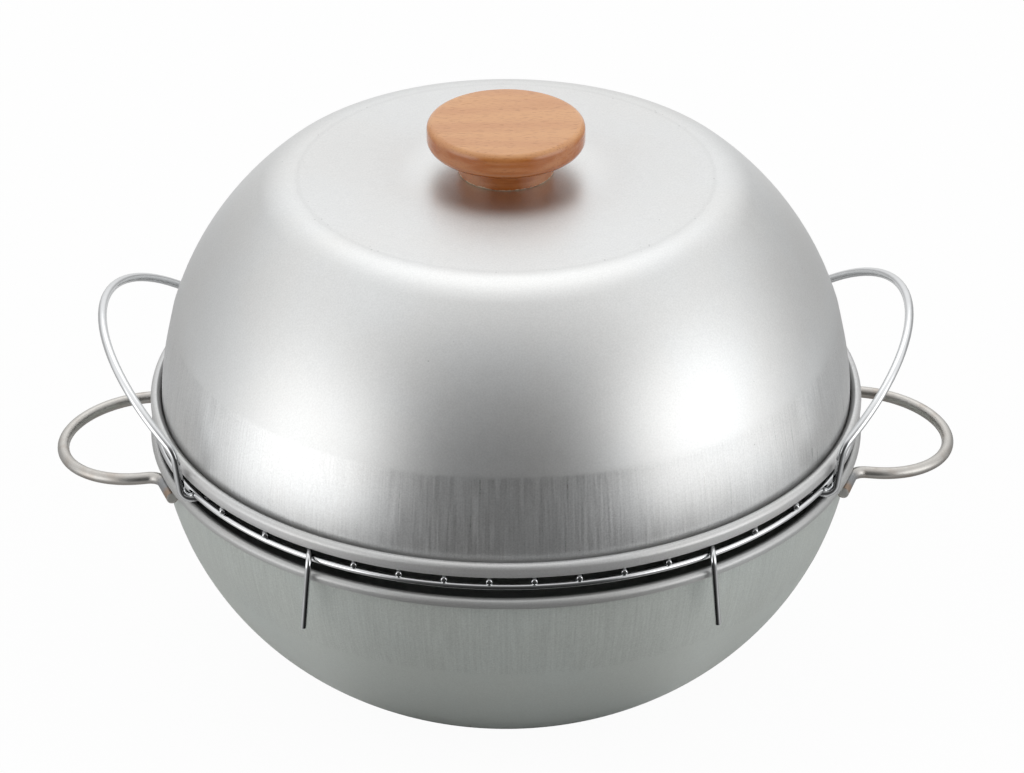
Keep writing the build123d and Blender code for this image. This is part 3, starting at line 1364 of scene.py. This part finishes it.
@dataclass
class Lid:
    """The domed lid with its beech knob, washer and screw."""

    shell: PressedShell = PressedShell(
        seat_d=50.0,
        crown=2.45,
        flat_d=192.0,
        shoulder_r=27.0,
        shoulder_turn=40.4,
        height=116.8,
        rim_d=329.0,
        roll_width=6.3,
        roll_height=7.4,
        roll_slot=0.45,
        line_drop=41.0,
        line_lift=0.06,
        skirt_bend=0.075,
        hole_d=5.6,
    )
    segments: int = 192
    top_z: float = 240.2
    edge_inset: float = 1.6
    knob_d: float = 71.6
    knob_height: float = 24.4
    knob_disc: float = 12.7
    knob_segments: int = 128
    neck_d: float = 43.5
    neck_chamfer: float = 0.4
    neck_round: float = 3.0
    neck_steps: int = 8
    under_round: float = 4.5
    top_round: float = 3.4
    disc_steps: int = 10
    top_steps: int = 6
    bore_d: float = 5.1
    bore_depth: float = 16.3

    def sheet(self) -> PressedSheet:
        """The lid's finish.

        Returns:
            A pale satin sheet whose skirt is its lower wall.
        """
        return PressedSheet(
            name="lid_satin_steel",
            tone=(0.703, 0.706, 0.70),
            roll_tone=(0.585, 0.583, 0.577),
            roughness=0.40,
            metal=0.83,
            line_z=self.top_z - self.shell.line_height,
            skirt=Skirt.BELOW,
            roll_from=self.shell.roll_from,
            edge_r=self.shell.flat_d / 2 - self.edge_inset,
            roll_metal=-0.20,
            roll_polish=-0.06,
            bright_r=46.0,
        )

    def knob_outline(self) -> list[Point]:
        """Half outline of the knob, from the top of its bore out and round to its top.

        Returns:
            Radii and heights in order.
        """
        neck_r, disc_r, neck_top = self.neck_d / 2, self.knob_d / 2, self.knob_height - self.knob_disc
        bore_r = self.bore_d / 2
        outline: list[Point] = [(0.0, self.bore_depth), (bore_r, self.bore_depth), (bore_r, 0.0)]
        outline += [(neck_r - self.neck_chamfer, 0.0), (neck_r, self.neck_chamfer)]
        for angle in steps(0.0, pi / 2, self.neck_steps):
            outline.append((
                neck_r + self.neck_round * (1 - cos(angle)),
                neck_top - self.neck_round * (1 - sin(angle)),
            ))
        for angle in steps(0.0, pi / 2, self.disc_steps):
            outline.append((
                disc_r - self.under_round * (1 - sin(angle)),
                neck_top + self.under_round * (1 - cos(angle)),
            ))
        for angle in steps(0.0, pi / 2, self.disc_steps):
            outline.append((
                disc_r - self.top_round * (1 - cos(angle)),
                self.knob_height - self.top_round * (1 - sin(angle)),
            ))
        for radius in steps(disc_r - self.top_round, 0.0, self.top_steps)[1:]:
            outline.append((radius, self.knob_height))
        return outline

    def build(self) -> None:
        """Builds, dresses and seats the lid."""
        steel = self.sheet().material()
        flipped = [(radius, self.top_z - height) for radius, height in self.shell.outline()]
        shell = lathe("lid_pressed_dome", flipped, self.segments, ring=True)
        dress(shell, steel)
        seat(shell, Body.LID, Slot.LID_STEEL, "lid_shell")
        beech = LacqueredBeech("lacquered_beech", self.top_z, self.top_z + self.knob_height).material()
        turned = [(radius, self.top_z + height) for radius, height in self.knob_outline()]
        knob = lathe("beech_knob", turned, self.knob_segments)
        dress(knob, beech)
        seat(knob, Body.LID, Slot.BEECH, "lid_knob")
        zinc = ZincPlate("zinc_plate").material()
        for node in ("knob_washer", "knob_screw"):
            dress(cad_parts[node], zinc)
            log.info("%s keeps its CAD shape", node)


# Studio


@dataclass
class Studio:
    """White floor, soft light from all round but the camera's side, and the camera.

    A fade is where an eased change starts and ends, over a direction's share upward or to the front.
    """

    lens: float = 160.52
    sensor: float = 36.0
    distance: float = 2118.8
    elevation: float = 29.248
    azimuth: float = 0.9
    look_z: float = 127.8
    shift_x: float = 0.00586
    clip_end: float = 20000.0
    floor_reach: float = 4000.0
    floor_lit_share: float = 0.96
    floor_matt: Colour = (0.76, 0.76, 0.76)
    middle_z: float = 110.0
    # Painted shadow: the floor straight under the pot, as reflections see it
    floor_tone: float = 0.52
    floor_edge: float = 0.70
    floor_fade: Fade = (-0.95, -0.50)
    low_wall: float = 0.86
    low_fade: Fade = (-0.4, 0.1)
    high_wall: float = 1.08
    high_fade: Fade = (0.0, 0.5)
    level_least: float = 0.0004
    ground_fade: Fade = (-0.38, -0.26)
    front_dark: float = 0.94
    front_fade: Fade = (0.1, 1.0)
    # Painted shadow: the floor close in front of the pot, as reflections see it
    near_floor_painted_shadow: float = 0.98
    near_floor_shadow_fade: Fade = (0.56, 0.97)
    rear_dark: float = 0.40
    rear_lean: float = 0.06
    rear_fade: Fade = (0.25, 0.50)
    rear_low_fade: Fade = (0.0, 0.5)
    rear_top_fade: Fade = (0.2, 0.55)
    back_fade: Fade = (0.80, 0.97)
    soft_box: float = 2.05
    soft_lean: float = 0.10
    soft_rear_fade: Fade = (-0.15, 0.22)
    soft_rear_lean: float = 0.01
    soft_front_fade: Fade = (0.64, 0.88)
    soft_front_lean: float = 0.02
    soft_low_fade: Fade = (-0.30, -0.03)
    soft_top_fade: Fade = (0.24, 0.70)
    soft_rise_lean: float = 0.05
    overhead: float = 0.62
    overhead_way: Triple = (0.0, 0.5, 0.866)
    overhead_fade: Fade = (0.86, 0.985)

    def tone(self, paint: Paint, way: Value) -> Value:
        """Brightness of the studio by direction: lamps at both sides and overhead, and a dark front.

        Args:
            paint: The tree that it goes in.
            way: The direction, of length 1.

        Returns:
            The brightness.
        """
        x, y, up = paint.split(way)
        facing = -y / (x * x + y * y + self.level_least) ** 0.5
        above = up.ease(*self.ground_fade)
        # Straight down, the floor is darker: a painted shadow under the pot
        wall = (
            self.floor_tone
            + up.ease(*self.floor_fade) * (self.floor_edge - self.floor_tone)
            + up.ease(*self.low_fade) * (self.low_wall - self.floor_edge)
            + up.ease(*self.high_fade) * (self.high_wall - self.low_wall)
        )
        front = above * (-y).ease(*self.front_fade) * self.front_dark
        # Painted shadow: the near floor in front of the pot is darkened
        near = (1.0 - above) * facing.ease(*self.near_floor_shadow_fade) * self.near_floor_painted_shadow
        behind = (-facing + (-up).ease(*self.rear_low_fade)).ease(*self.rear_fade)
        beside = 1.0 - (-facing).ease(*self.back_fade)
        rear = behind * beside * (1.0 - up.ease(*self.rear_top_fade))
        room = wall * (1.0 - front - near) * (1.0 - rear * (self.rear_dark + x * self.rear_lean))
        past_rear = (facing + x * self.soft_rear_lean).ease(*self.soft_rear_fade)
        past_front = (facing - x * self.soft_front_lean).ease(*self.soft_front_fade)
        rise = up - x * self.soft_rise_lean
        tall = rise.ease(*self.soft_low_fade) * (1.0 - rise.ease(*self.soft_top_fade))
        soft = past_rear * (1.0 - past_front) * tall
        lamp = paint.dot(way, self.overhead_way).ease(*self.overhead_fade)
        return room + soft * (self.soft_box + x * self.soft_lean - room) + lamp * self.overhead

    def build_world(self) -> None:
        """White for the camera, and the studio's walls for everything else."""
        world = bpy.data.worlds.new("studio")
        bpy.context.scene.world = world
        world.use_nodes = True
        paint = Paint(world.node_tree)
        way = paint.node("ShaderNodeTexCoord", {}, {}, "Generated")
        tone = self.tone(paint, way)
        seen = paint.node("ShaderNodeLightPath", {}, {}, "Is Camera Ray")
        strength = tone + seen * (1.0 - tone)
        light = paint.node("ShaderNodeBackground", {}, {"Color": (1.0, 1.0, 1.0), "Strength": strength})
        paint.node("ShaderNodeOutputWorld", {}, {"Surface": light})

    def build_floor(self) -> None:
        """A floor that is plain white for the camera and keeps a soft shadow; in reflections it glows with
        the studio's tone, with a painted shadow under and in front of the pot.
        """
        reach = self.floor_reach
        corners = [(-reach, -reach, 0.0), (reach, -reach, 0.0), (reach, reach, 0.0), (-reach, reach, 0.0)]
        floor = make_piece("studio_floor", corners, [(0, 1, 2, 3)])
        made, paint = new_paint("studio_white")
        from_middle = paint.vector("SUBTRACT", paint.place(), (0.0, 0.0, self.middle_z))
        tone = self.tone(paint, paint.vector("NORMALIZE", from_middle))
        seen = paint.node("ShaderNodeLightPath", {}, {}, "Is Camera Ray")
        glossy, through = seen.sibling("Is Glossy Ray"), seen.sibling("Is Transmission Ray")
        white = paint.mix(seen, paint.grey(tone), (1.0, 1.0, 1.0))
        lit = paint.node("ShaderNodeEmission", {}, {"Color": white, "Strength": 1.0})
        matt = paint.node("ShaderNodeBsdfDiffuse", {}, {"Color": self.floor_matt})
        # Reflections see the floor glow with the studio's tone, painted shadows included
        share = (seen + through) * self.floor_lit_share + glossy
        both = paint.node("ShaderNodeMixShader", {}, {0: share, 1: matt, 2: lit})
        paint.node("ShaderNodeOutputMaterial", {}, {"Surface": both})
        dress(floor, made)

    def build_camera(self) -> None:
        """The camera, as the photograph was taken."""
        data = bpy.data.cameras.new("photo_camera")
        data.lens = self.lens
        data.sensor_width = self.sensor
        data.shift_x = self.shift_x
        data.clip_end = self.clip_end * MM
        camera = add_object("photo_camera", data)
        rise, turn = radians(self.elevation), radians(self.azimuth)
        look = Vector((0.0, 0.0, self.look_z))
        away = Vector((-sin(turn) * cos(rise), -cos(turn) * cos(rise), sin(rise)))
        camera.location = (look + away * self.distance) * MM
        camera.rotation_euler = (-away).to_track_quat("-Z", "Y").to_euler()
        bpy.context.scene.camera = camera

    def build(self) -> None:
        """Builds the light, the floor and the camera."""
        bpy.context.scene.view_settings.view_transform = "Standard"
        self.build_world()
        self.build_floor()
        self.build_camera()


def main() -> None:
    """Builds the studio and the three sub-assemblies."""
    logging.basicConfig(level=logging.INFO, format="%(name)s: %(message)s")
    Studio().build()
    for assembly in (Bowl(), Rack(), Lid()):
        assembly.build()
        log.info("%s is built", type(assembly).__name__)


if __name__ == "__main__":
    main()
